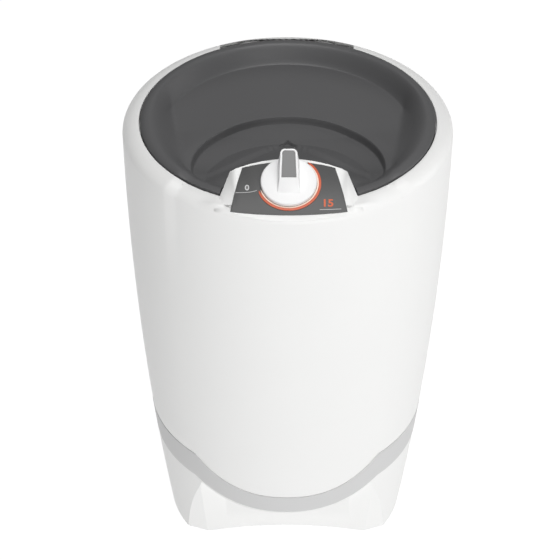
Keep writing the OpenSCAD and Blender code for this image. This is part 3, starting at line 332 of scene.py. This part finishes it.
# white cabinet shell: a tapered, slightly bulged side, a rounded shoulder and a front sector that lies
# a little deeper towards the rim, with a soft ramp on each side of it
shellSet = {"footR": 175.6, "flare": 51.3, "bulge": 11.2, "shoulderZ": 664.0, "drop": 16.0,
            "rimR": 204.0, "ledgeZ": 671.0, "recess": 3.0, "dip": 3.5, "rampOut": 46.6, "rampWide": 4.8,
            "fadeLow": 500.0, "fadeHigh": 660.0, "lowRecess": 0.3, "bandLow": 122.0, "bandLowRise": 28.0,
            "bandLowPower": 2.6, "bandTop": 153.5, "bandTopRise": 45.0, "bandTopPower": 2.8,
            "bandCorner": 133.0, "bandProud": 0.4, "lowestZ": 100.0, "seam": 0.15, "wall": 2.8,
            "soft": 0.8, "fullFrom": 33.5, "fullWide": 8, "fullIn": 5, "sideSteps": 44, "archSteps": 14}


def sideR(z):
    k = shellSet
    t = z / k["shoulderZ"]
    return k["footR"] + k["flare"] * t + k["bulge"] * (1 - (2 * t - 1) ** 2)


def sector(a):
    # 1 in the deeper front sector, 0 outside its flat ramps
    return clampOne((shellSet["rampOut"] - abs(a)) / shellSet["rampWide"])


def bandEdge(a, low, rise, power):
    z = low
    for _ in range(6):
        x = sideR(z) * math.sin(math.radians(a))
        z = low + rise * min(1.0, abs(x) / shellSet["bandCorner"]) ** power
    return z


def bandTopZ(a):
    k = shellSet
    return bandEdge(a, k["bandTop"], k["bandTopRise"], k["bandTopPower"])


def bandLowZ(a):
    k = shellSet
    return bandEdge(a, k["bandLow"], k["bandLowRise"], k["bandLowPower"])


def shellSide(a, z):
    k = shellSet
    fade = ease((z - k["fadeLow"]) / (k["fadeHigh"] - k["fadeLow"]))
    return sideR(z) - sector(a) * (k["recess"] * fade + k["lowRecess"] * (1 - fade))


def shellFace(a, inset, low):
    # points up the side and over the shoulder, drawn in by an inset
    k = shellSet
    w = sector(a)
    turnZ = k["shoulderZ"] - k["dip"] * w
    outR = shellSide(a, turnZ) - inset
    inR = k["rimR"] - k["recess"] * w + max(inset, k["soft"])
    side = []
    for i in range(k["sideSteps"]):
        z = low + (turnZ - low) * i / k["sideSteps"]
        side.append((shellSide(a, z) - inset, z))
    turns = [math.radians(90 * i / k["archSteps"]) for i in range(k["archSteps"] + 1)]
    high = k["drop"] - inset
    return side + [(inR + (outR - inR) * math.cos(t), turnZ + high * math.sin(t)) for t in turns]


def besideConsole(a, r, z, turnR):
    # the shoulder is fuller next to the console and runs softly into its front corners
    k = shellSet
    if z < k["shoulderZ"] - k["dip"]:
        return z
    _, frontY, frontZ = [1000 * v for v in panelSet["front"]]
    planeZ = frontZ + (-frontY - r * math.cos(math.radians(a))) * math.tan(math.radians(panelSet["tilt"]))
    top = min(planeZ, k["shoulderZ"] + k["drop"] - k["dip"])
    share = ease((k["fullFrom"] - abs(a)) / k["fullWide"]) * ease((turnR - r) / k["fullIn"])
    return z + max(0.0, top - z) * share


def roundCorner(r, z, startAngle, radius):
    # three points round a corner whose centre is (r, z)
    turns = [math.radians(startAngle + more) for more in (30, 60, 90)]
    return [(r + radius * math.cos(t), z + radius * math.sin(t)) for t in turns]


def shellSection(a):
    k = shellSet
    w = sector(a)
    low = bandTopZ(a) + k["seam"]
    turnR = shellSide(a, k["shoulderZ"])
    face = [(r, besideConsole(a, r, z, turnR)) for r, z in shellFace(a, 0, low + k["soft"])]
    rimR = k["rimR"] - k["recess"] * w
    rimZ = k["shoulderZ"] + k["drop"] - k["dip"] * w
    inner = [(r, max(z, low)) for r, z in shellFace(a, k["wall"], low)]
    inner.reverse()
    return [(sideR(low) - k["soft"], low), (sideR(low) - 0.3 * k["soft"], low + 0.3 * k["soft"]), *face,
            *roundCorner(rimR + k["soft"], rimZ - k["soft"], 90, k["soft"]), (rimR, k["ledgeZ"] - 1),
            (rimR + k["wall"], k["ledgeZ"] - 1), *inner]


# how near the drawn shell a CAD place counts as covered, and where the console's own walls are
coverSet = {"side": 1.0, "arch": 0.86, "rimFrom": 1, "rimIn": 1.2, "ledgeUp": 0.5, "flat": 0.999,
            "consoleMore": 18, "consoleY": -120, "consoleZ": 655, "sideways": 0.8, "upright": 0.25,
            "wallR": 223.3}


def isOutside(c):
    # true for a place, in mm, on or over the drawn shell's face
    near = coverSet
    k = shellSet
    r = math.hypot(c.x, c.y)
    a = math.degrees(math.atan2(c.x, -c.y))
    w = sector(a)
    turnZ = k["shoulderZ"] - k["dip"] * w
    inR = k["rimR"] - k["recess"] * w
    if c.z < turnZ:
        return r > shellSide(a, c.z) - near["side"]
    if r > inR + near["rimFrom"]:
        outR = shellSide(a, turnZ)
        return ((r - inR) / (outR - inR)) ** 2 + ((c.z - turnZ) / k["drop"]) ** 2 > near["arch"]
    return r > inR - near["rimIn"] and c.z > k["ledgeZ"] + near["ledgeUp"]


def isDrawnOver(face):
    # true for the CAD cabinet's faces that the drawn shell stands in for
    k = coverSet
    c = face.calc_center_median() * 1000
    if face.normal.dot(panelMatrix.col[2].to_3d()) > k["flat"] or c.z < shellSet["lowestZ"]:
        return False
    besideTip = abs(c.x) < panelSet["tipHalf"] + k["consoleMore"]
    atConsole = besideTip and c.y < k["consoleY"] and c.z > k["consoleZ"]
    isWall = abs(face.normal.z) < k["upright"] and c.xy.length < k["wallR"]
    if atConsole and (abs(face.normal.x) > k["sideways"] or isWall):
        return False
    return isOutside(c) or all(isOutside(v.co * 1000) for v in face.verts)


pocketSet = {"half": 96.0, "front": 172.0, "rear": 209.0, "reach": 221.0, "low": 0.650, "high": 0.712}


def hingePocket():
    # the space at the back that the hinge posts stand in, kept free of the drawn shell
    k = pocketSet
    half, front, reach = k["half"], k["front"], k["reach"]
    first = math.degrees(math.acos(half / reach))
    last = math.degrees(math.asin(k["rear"] / reach))
    bend = [math.radians(first + (last - first) * i / 4) for i in range(5)]
    right = [(reach * math.cos(t), reach * math.sin(t)) for t in bend]
    outline = [(-half, front), (half, front), *right, *[(-x, y) for x, y in reversed(right)]]
    return plate("hingePocket", [(x * 0.001, y * 0.001) for x, y in outline], k["low"], k["high"])


shell = turned("cabinetShell", shellSection)
# the cutter is a hair wider than the console and starts just over the panel, so no faces coincide
cutterSet = {"scale": 0.0010005, "low": 0.00002, "high": 0.08}
cutterOutline = [(x * cutterSet["scale"], s * cutterSet["scale"]) for x, s in consoleOutline()]
above = plate("abovePanel", cutterOutline, cutterSet["low"], cutterSet["high"])
above.data.transform(panelMatrix)
cutBy(shell, above)
cutBy(shell, hingePocket())
core = mergedCopy("cabinet")
bpy.ops.object.mode_set(mode="EDIT")
pick(core, "faces", isDrawnOver)
bpy.ops.mesh.delete(type="FACE")
# the CAD panel's front corners are drawn in to the narrower console
toPanel = panelMatrix.inverted()
onPanel = 0.0003
for v in bmesh.from_edit_mesh(core.data).verts:
    x, s, z = toPanel @ v.co
    if abs(z) < onPanel and s < 0.001 * panelSet["tipS"]:
        x = math.copysign(min(abs(x), 0.001 * consoleHalf(1000 * s)), x)
        v.co = panelMatrix @ Vector((x, s, z))
bmesh.update_edit_mesh(core.data)
bpy.ops.object.mode_set(mode="OBJECT")
makeActive(shell)
core.select_set(True)
bpy.ops.object.join()
finishPiece(shell, Matrix.Identity(4), "housing", "white_shell", ("cabinet",), 28)
print("cabinet shell drawn,", len(shell.data.polygons), "faces")


# grey band: stands a little proud of the side, with softened edges
def bandSection(a):
    k = shellSet
    low = bandLowZ(a) + k["seam"]
    high = bandTopZ(a) - k["seam"]
    soft = 0.5
    faceZ = [low + soft + (high - low - 2 * soft) * i / 10 for i in range(11)]
    out = k["bandProud"]
    return [(sideR(low) - k["wall"], low), (sideR(low) + out - soft, low),
            (sideR(low) + out - 0.3 * soft, low + 0.3 * soft), *[(sideR(z) + out, z) for z in faceZ],
            (sideR(high) + out - 0.3 * soft, high - 0.3 * soft), (sideR(high) + out - soft, high),
            (sideR(high) - k["wall"], high)]


band = turned("trimBand", bandSection)
finishPiece(band, Matrix.Identity(4), "housing", "grey_band", ("trim_band",), 40)
base = mergedCopy("base")
finishPiece(base, Matrix.Identity(4), "housing", "white_shell", ("base",), 12)
print("band and base drawn")

# the dished lid, drawn on a grid whose rows run from the outer edge to the notch
lidSet = {"edgeR": 202.5, "crownZ": 684.0, "crown": 4.0, "rollIn": 9, "rollReach": 9.4,
          "frontIn": 3.0, "frontDip": 3.5, "dishDepth": 25.0, "dishIn": 11, "floorHalf": 152.8,
          "floorLean": 0.151, "rearRun": 20, "frontShare": 0.2, "frontY": 175, "step": 10.0, "stepY": 150,
          "stepRun": 4, "riseRun": 90, "archOneR": 129.0, "archOneY": -95.0, "archTwoR": 110.0,
          "archTwoY": -117.0, "terraceFall": 8.0, "terraceY": 170, "terraceRun": 38, "collarRise": 0.23,
          "collarUnder": 5, "collarBlend": 6.0, "tipX": 91.5, "notchCorner": (83.5, -146.0),
          "notchRearY": -126.0, "wall": 2.4, "skirtZ": 673.3, "skirtRise": 5.7, "clearX": 126.0,
          "clearRun": 14, "columns": 260, "rows": 120}


def inFront(a):
    return sector(180 - abs(a))


def lidHeight(x, y):
    k = lidSet
    r = math.hypot(x, y)
    edge = k["edgeR"]
    a = math.degrees(math.atan2(x, y))
    rim = k["crownZ"] - k["frontDip"] * inFront(a)
    roll = k["crown"] * (1 - math.sqrt(1 - clampOne((r - edge + k["rollIn"]) / k["rollReach"]) ** 2))
    d1 = math.hypot(x, y - k["archOneY"])
    d2 = math.hypot(x, y - k["archTwoY"])
    start = math.sqrt(max(1.0, (edge - k["dishIn"]) ** 2 - y * y))
    side = clampOne((start - abs(x)) / max(4.0, start - (k["floorHalf"] + k["floorLean"] * y)))
    rear = clampOne((edge - k["dishIn"] - r) / k["rearRun"])
    # a rounded minimum of the two slopes, so that the floor's corners are soft
    fall = (max(side, 0.001) ** -4 + max(rear, 0.001) ** -4 - 1) ** -0.25
    fall = 0.4 * fall ** 1.5 + 0.6 * ease(fall)
    deeper = k["frontShare"] + 0.8 * clampOne((y + k["frontY"]) / k["frontY"])
    dish = k["dishDepth"] * deeper * fall
    step = k["step"] * ease((y + k["stepY"]) / k["riseRun"]) * ease((k["archOneR"] + 2 - d1) / k["stepRun"])
    beyond = clampOne(1 - (d2 - k["archTwoR"]) / k["terraceRun"])
    terrace = k["terraceFall"] * ease((y + k["terraceY"]) / k["riseRun"]) * beyond
    collar = k["collarRise"] * max(0.0, k["archTwoR"] - d2)
    most = max(0.0, dish + step + terrace - k["collarUnder"])
    blend = min(k["collarBlend"], collar, most)
    collar = (collar + most - math.hypot(collar - most, blend)) / 2
    return rim - roll - dish - step - terrace + collar


def enterCircle(p, way, cy, r):
    q = Vector((p[0], p[1] - cy))
    b = q.dot(way)
    c = q.length_squared - r * r
    gap = b * b - c
    return 0.0 if c <= 0 or gap < 0 else -b - math.sqrt(gap)


def lidStop(v, length, one, two):
    k = min(1.0, one / 80)
    marks = [(0.0, 0.0), (0.16, 10 * k), (0.24, 16 * k), (0.42, 42 * k), (0.5, one - 3 * k),
             (0.62, one + 7 * k), (0.74, two - 4 * k), (0.84, two + 4 * k), (1.0, length)]
    for (v0, d0), (v1, d1) in zip(marks, marks[1:]):
        if v <= v1:
            return d0 + (d1 - d0) * (v - v0) / (v1 - v0)
    return length


def lidPoint(u, v):
    k = lidSet
    a = (180 - math.degrees(math.asin(k["tipX"] / k["edgeR"]))) * (2 * u - 1)
    r = k["edgeR"] - k["frontIn"] * inFront(a)
    p = Vector((r * math.sin(math.radians(a)), r * math.cos(math.radians(a))))
    t = 2 * u - 1
    cornerX, cornerY = k["notchCorner"]
    q = Vector((t * cornerX, k["notchRearY"] + (cornerY - k["notchRearY"]) * t * t))
    length = (q - p).length
    way = (q - p) / length
    one = min(length * 0.6, max(6, enterCircle(p, way, k["archOneY"], k["archOneR"])))
    two = min(length * 0.8, max(one + 5, enterCircle(p, way, k["archTwoY"], k["archTwoR"])))
    spot = p + way * lidStop(v, length, one, two)
    return spot.x, spot.y, lidHeight(spot.x, spot.y)


deselectAll()
bpy.ops.mesh.primitive_grid_add(x_subdivisions=lidSet["columns"], y_subdivisions=lidSet["rows"], size=1)
lidSkin = bpy.context.object
lidSkin.name = "dishedLid"
for vert in lidSkin.data.vertices:
    vert.co = Vector(lidPoint(vert.co.x + 0.5, vert.co.y + 0.5)) * 0.001
bpy.ops.object.mode_set(mode="EDIT")
outer = lidSet["edgeR"] * 0.001
nearEdge = 0.0035
pick(lidSkin, "edges", lambda e: e.is_boundary and all(v.co.xy.length > outer - nearEdge for v in e.verts))
bpy.ops.mesh.extrude_edges_move(TRANSFORM_OT_translate={"value": (0, 0, -0.001)})
for v in bmesh.from_edit_mesh(lidSkin.data).verts:
    if v.select:
        # the skirt is shorter at the back, over the hinge
        lift = ease((lidSet["clearX"] - abs(v.co.x) * 1000) / lidSet["clearRun"]) if v.co.y > 0 else 0
        v.co.z = (lidSet["skirtZ"] + lidSet["skirtRise"] * lift) * 0.001
bmesh.update_edit_mesh(lidSkin.data)
outwardNormals()
middle = min(bmesh.from_edit_mesh(lidSkin.data).faces,
             key=lambda f: (f.calc_center_median().xy - Vector((0, 0.05))).length)
if middle.normal.z < 0:
    bpy.ops.mesh.flip_normals()
bpy.ops.object.mode_set(mode="OBJECT")
makeActive(lidSkin)
wallMod = lidSkin.modifiers.new("lidWall", "SOLIDIFY")
wallMod.thickness = lidSet["wall"] * 0.001
wallMod.offset = -1
bpy.ops.object.modifier_apply(modifier="lidWall")
finishPiece(lidSkin, Matrix.Identity(4), "lid_group", "lid_grey", ("lid",), 40)
print("lid drawn")

# dark film on the panel, bowed at the front and the rear
filmSet = {"frontHalf": 0.0762, "rearHalf": 0.061, "rearS": 0.0735, "rearBow": 0.0095,
           "frontBow": 0.0053, "side": [(0.0715, 0.0316), (0.066, 0.055)], "low": 0.00005,
           "high": 0.00085, "soft": 0.00025}
steps = [i / 20 for i in range(-20, 21)]
frontLine = [(filmSet["frontHalf"] * t, filmSet["frontBow"] * t ** 2) for t in steps]
rearLine = [(filmSet["rearHalf"] * t, filmSet["rearS"] + filmSet["rearBow"] * (1 - t ** 2))
            for t in reversed(steps)]
leftSide = [(-x, y) for x, y in reversed(filmSet["side"])]
film = plate("panelFilm", frontLine + filmSet["side"] + rearLine + leftSide, filmSet["low"], filmSet["high"])
soften(film, filmSet["soft"], 2)
finishPiece(film, panelMatrix, "housing", "label_grey", ("control_label",))

# orange arc with pointed ends, raised on the film, and the pale lip along its inner edge
arcSet = {"outer": 0.0425, "inner": 0.0392, "lip": 0.0373, "low": 0.0009, "high": 0.0021,
          "lipHigh": 0.0026, "start": 197.0, "sweep": 215.0, "point": 12.0, "soft": 0.0005}


def arcOutline(inner, outer, start, sweep, point):
    mid = (inner + outer) / 2
    half = (outer - inner) / 2
    count = 120
    sides = {1: [], -1: []}
    for i in range(count + 1):
        turn = sweep * i / count
        wide = half * max(0.1, math.sqrt(clampOne(min(turn, sweep - turn) / point)))
        a = math.radians(start + turn)
        for way in sides:
            r = mid + way * wide
            sides[way].append((r * math.cos(a), r * math.sin(a)))
    return sides[1] + sides[-1][::-1]


k = arcSet
ringOutline = arcOutline(k["inner"], k["outer"], k["start"], k["sweep"], k["point"])
dialArc = plate("dialArc", ringOutline, k["low"], k["high"])
soften(dialArc, k["soft"], 3, 60)
finishPiece(dialArc, knobMatrix, "housing", "dial_orange", ("dial_ring",), 35)
lipOutline = arcOutline(k["lip"], k["inner"], k["start"], k["sweep"], k["point"])
dialLip = plate("dialLip", lipOutline, k["low"], k["lipHigh"])
finishPiece(dialLip, knobMatrix, "housing", "dial_orange", (), 35, paleLip)

# printed marks: a zero over its line at the start of the dial, and the longest time at its end
markSet = {"top": 0.00095, "bottom": 0.0008,
           "zero": ("0", (-0.0545, 0.0385), 0.0115, printLight),
           "longest": ("15", (0.0505, 0.0135), 0.0155, printOrange)}
for name in ("zero", "longest"):
    text, place, size, ink = markSet[name]
    deselectAll()
    bpy.ops.object.text_add()
    mark = bpy.context.object
    mark.name = name + "Mark"
    mark.data.body = text
    mark.data.size = size
    mark.data.align_x = "CENTER"
    mark.data.offset = size * 0.028
    mark.data.extrude = (markSet["top"] - markSet["bottom"]) / 2
    mark.data.resolution_u = 6
    bpy.ops.object.convert(target="MESH")
    mark = bpy.context.object
    mark.data.transform(Matrix.Translation((*place, (markSet["top"] + markSet["bottom"]) / 2)))
    finishPiece(mark, panelMatrix, "housing", "label_grey", (), 30, ink)


def printedLine(name, points, width, ink):
    # a line of one width that follows the points
    left, right = [], []
    for i, (x, y) in enumerate(points):
        (x0, y0), (x1, y1) = points[max(0, i - 1)], points[min(len(points) - 1, i + 1)]
        run = math.hypot(x1 - x0, y1 - y0)
        nx, ny = -(y1 - y0) / run * width / 2, (x1 - x0) / run * width / 2
        left.append((x + nx, y + ny))
        right.append((x - nx, y - ny))
    line = plate(name, left + right[::-1], markSet["bottom"], markSet["top"])
    finishPiece(line, panelMatrix, "housing", "label_grey", (), 30, ink)


startSteps = [i / 12 for i in range(13)]
startLine = [(-0.0695 + 0.0280 * t, 0.0345 + 0.0005 * t + 0.0032 * t ** 4) for t in startSteps]
printedLine("startLine", startLine, 0.0007, printLight)
printedLine("timeLine", [(0.0400, 0.0085), (0.0540, 0.0088), (0.0680, 0.0095)], 0.0008, printLight)
print("panel drawn")

# knob: a turned disc with a raised grip across its far half
knobSet = {"radius": 0.037, "low": 0.0013, "top": 0.008, "soft": 0.0022,
           "gripBaseNear": (0.0150, -0.021), "gripBaseFar": (0.0145, 0.0335),
           "gripNear": (0.0125, -0.006, 0.020), "gripFar": (0.0108, 0.0335, 0.0325), "border": 0.0026,
           "sunk": 0.002, "endRound": 0.0055, "gripSoft": 0.0014, "recess": 0.0011, "insertHigh": 0.0012,
           "insertFit": 0.985}
deselectAll()
k = knobSet
bpy.ops.mesh.primitive_cylinder_add(vertices=160, radius=k["radius"], depth=k["top"] - k["low"],
                                    location=(0, 0, (k["top"] + k["low"]) / 2))
disc = bpy.context.object
disc.name = "knobDisc"
bpy.ops.object.transform_apply(location=True, rotation=True, scale=True)
soften(disc, k["soft"], 5, 60)
finishPiece(disc, knobMatrix, "knob_group", "knob_white", ("knob",), 35)

deselectAll()
bpy.ops.mesh.primitive_cube_add(size=1)
grip = bpy.context.object
grip.name = "knobGrip"
for v in grip.data.vertices:
    right = 1 if v.co.x > 0 else -1
    far = v.co.y > 0
    if v.co.z < 0:
        half, y = k["gripBaseFar"] if far else k["gripBaseNear"]
        v.co = (right * half, y, k["top"] - k["sunk"])
    else:
        half, y, z = k["gripFar"] if far else k["gripNear"]
        v.co = (right * half, y, z)
bpy.ops.object.mode_set(mode="EDIT")
pick(grip, "edges", lambda e: all(v.co.y > 0.03 for v in e.verts)
     and abs(e.verts[0].co.z - e.verts[1].co.z) > 0.01)
bpy.ops.mesh.bevel(offset=k["endRound"], segments=8, affect="EDGES")
topFace = max(bmesh.from_edit_mesh(grip.data).faces, key=lambda f: f.normal.z * f.calc_area())
topNormal = topFace.normal.copy()
topIndex = topFace.index
pick(grip, "faces", lambda f: f.index == topIndex)
bpy.ops.mesh.inset(thickness=k["border"], depth=0)
bpy.ops.mesh.extrude_region_move(TRANSFORM_OT_translate={"value": tuple(-k["recess"] * topNormal)})
bpy.ops.mesh.duplicate()
bpy.ops.mesh.separate(type="SELECTED")
bpy.ops.object.mode_set(mode="OBJECT")
insert = [ob for ob in bpy.context.selected_objects if ob != grip][0]
insert.name = "gripInsert"
soften(grip, k["gripSoft"], 4, 35)
finishPiece(grip, knobMatrix, "knob_group", "knob_white", (), 50)

# grey insert that fills the recess in the grip
makeActive(insert)
bpy.ops.object.mode_set(mode="EDIT")
bpy.ops.mesh.select_all(action="SELECT")
bpy.ops.transform.resize(value=(k["insertFit"], k["insertFit"], 1))
bpy.ops.mesh.extrude_region_move(TRANSFORM_OT_translate={"value": tuple(k["insertHigh"] * topNormal)})
outwardNormals()
bpy.ops.object.mode_set(mode="OBJECT")
finishPiece(insert, knobMatrix, "knob_group", "insert_grey", ("knob_insert",))
print("knob drawn")

# pale floor, plain studio world and soft lamps
floorMaterial = bpy.data.materials.new("paleStudioFloor")
floorMaterial.use_nodes = True
tree = floorMaterial.node_tree
floorShader = tree.nodes["Principled BSDF"]
floorShader.inputs["Base Color"].default_value = linearColour("F0F0F0")
floorShader.inputs["Roughness"].default_value = 0.8
light = addNode(tree, "ShaderNodeLightPath")
direct = addNode(tree, "ShaderNodeMath", {"operation": "MAXIMUM"},
                 {0: light.outputs["Is Camera Ray"], 1: light.outputs["Is Transmission Ray"]})
glow = addNode(tree, "ShaderNodeMapRange", {"To Min": 1.1, "To Max": 1.13}, {"Value": direct.outputs[0]})
white = addNode(tree, "ShaderNodeEmission", {"Color": (1, 1, 1, 1)}, {"Strength": glow.outputs["Result"]})
blend = addNode(tree, "ShaderNodeMixShader", {0: 0.85}, {1: floorShader.outputs[0], 2: white.outputs[0]})
tree.links.new(blend.outputs[0], tree.nodes["Material Output"].inputs["Surface"])
deselectAll()
bpy.ops.mesh.primitive_plane_add(size=14, location=(0, 2, 0))
floor = bpy.context.object
floor.name = "studioFloor"
floor.data.materials.append(floorMaterial)

world = bpy.data.worlds.new("studioWorld")
bpy.context.scene.world = world
world.use_nodes = True
tree = world.node_tree
back = tree.nodes["Background"]
lightPath = addNode(tree, "ShaderNodeLightPath")
seen = addNode(tree, "ShaderNodeMath", {"operation": "MAXIMUM"},
               {0: lightPath.outputs["Is Camera Ray"], 1: lightPath.outputs["Is Transmission Ray"]})
strength = addNode(tree, "ShaderNodeMapRange", {"To Min": 0.08, "To Max": 1.0}, {"Value": seen.outputs[0]})
back.inputs["Color"].default_value = (1, 1, 1, 1)
tree.links.new(strength.outputs["Result"], back.inputs["Strength"])


def areaLamp(name, place, target, size, watts):
    data = bpy.data.lights.new(name, "AREA")
    data.shape = "SQUARE"
    data.size = size
    data.energy = watts
    lamp = bpy.data.objects.new(name, data)
    lamp.location = place
    lamp.rotation_euler = (Vector(target) - Vector(place)).to_track_quat("-Z", "Y").to_euler()
    bpy.context.scene.collection.objects.link(lamp)


# each lamp: turn from the front towards the right, height angle, distance, size, watts
lampSet = {"keyLamp": (20, 15, 3.2, 1.2, 33), "sideLamp": (100, 15, 3.2, 1.2, 15.5),
           "frontLamp": (-5, 10, 3.2, 1.2, 4.7), "topLamp": (10, 80, 3.2, 1.8, 61),
           "backLamp": (175, 40, 3.2, 1.8, 5.5)}
for name, (turn, rise, far, size, watts) in lampSet.items():
    turn, rise = math.radians(turn), math.radians(rise)
    way = (math.sin(turn) * math.cos(rise), -math.cos(turn) * math.cos(rise), math.sin(rise))
    areaLamp(name, [0.4 * (i == 2) + far * v for i, v in enumerate(way)], (0, 0, 0.4), size, watts)
bpy.context.scene.view_settings.view_transform = "Standard"
print("stage and lamps set")
